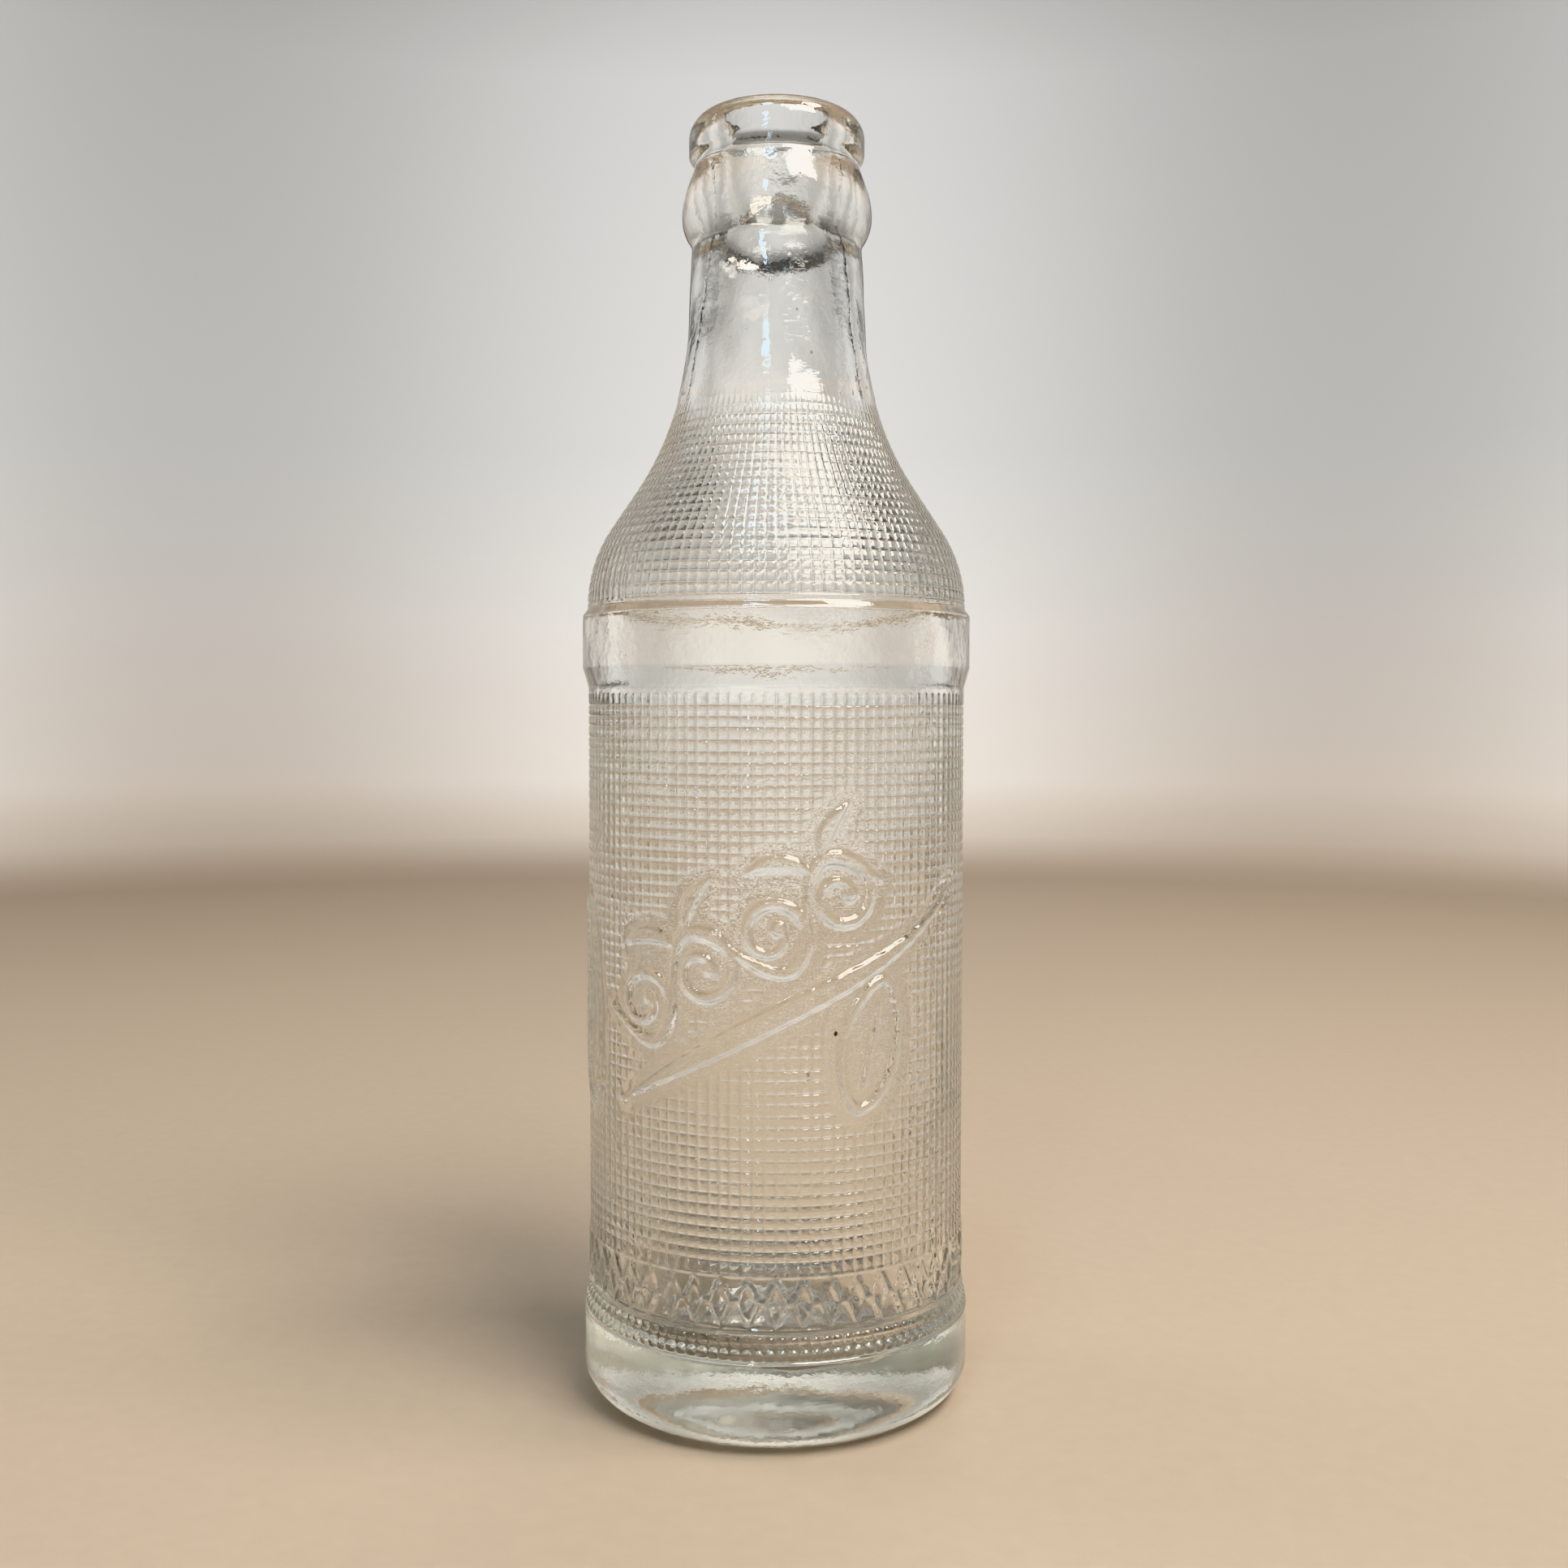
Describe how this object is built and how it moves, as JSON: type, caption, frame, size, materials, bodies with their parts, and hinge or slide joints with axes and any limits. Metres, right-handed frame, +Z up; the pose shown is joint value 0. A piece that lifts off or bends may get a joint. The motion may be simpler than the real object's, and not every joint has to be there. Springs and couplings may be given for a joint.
{
  "type": "glass soda bottle",
  "caption": "Small thick-walled soda bottle of clear glass with a crown finish, transfer ring, slim neck, smooth band and moulded grid relief.",
  "frame": {"origin": "centre of the base, on the plane that the bottle stands on", "axes": "+Z up through the mouth; the moulded script faces -Y; the two mould seams lie at +X and -X"},
  "size_m": [0.059, 0.059, 0.194],
  "materials": {
    "glass": "clear fire-polished glass with a faint straw tint, scuffed on the band and heel"
  },
  "bodies": {
    "root": {"glass_bottle": "glass"}
  },
  "joints": []
}
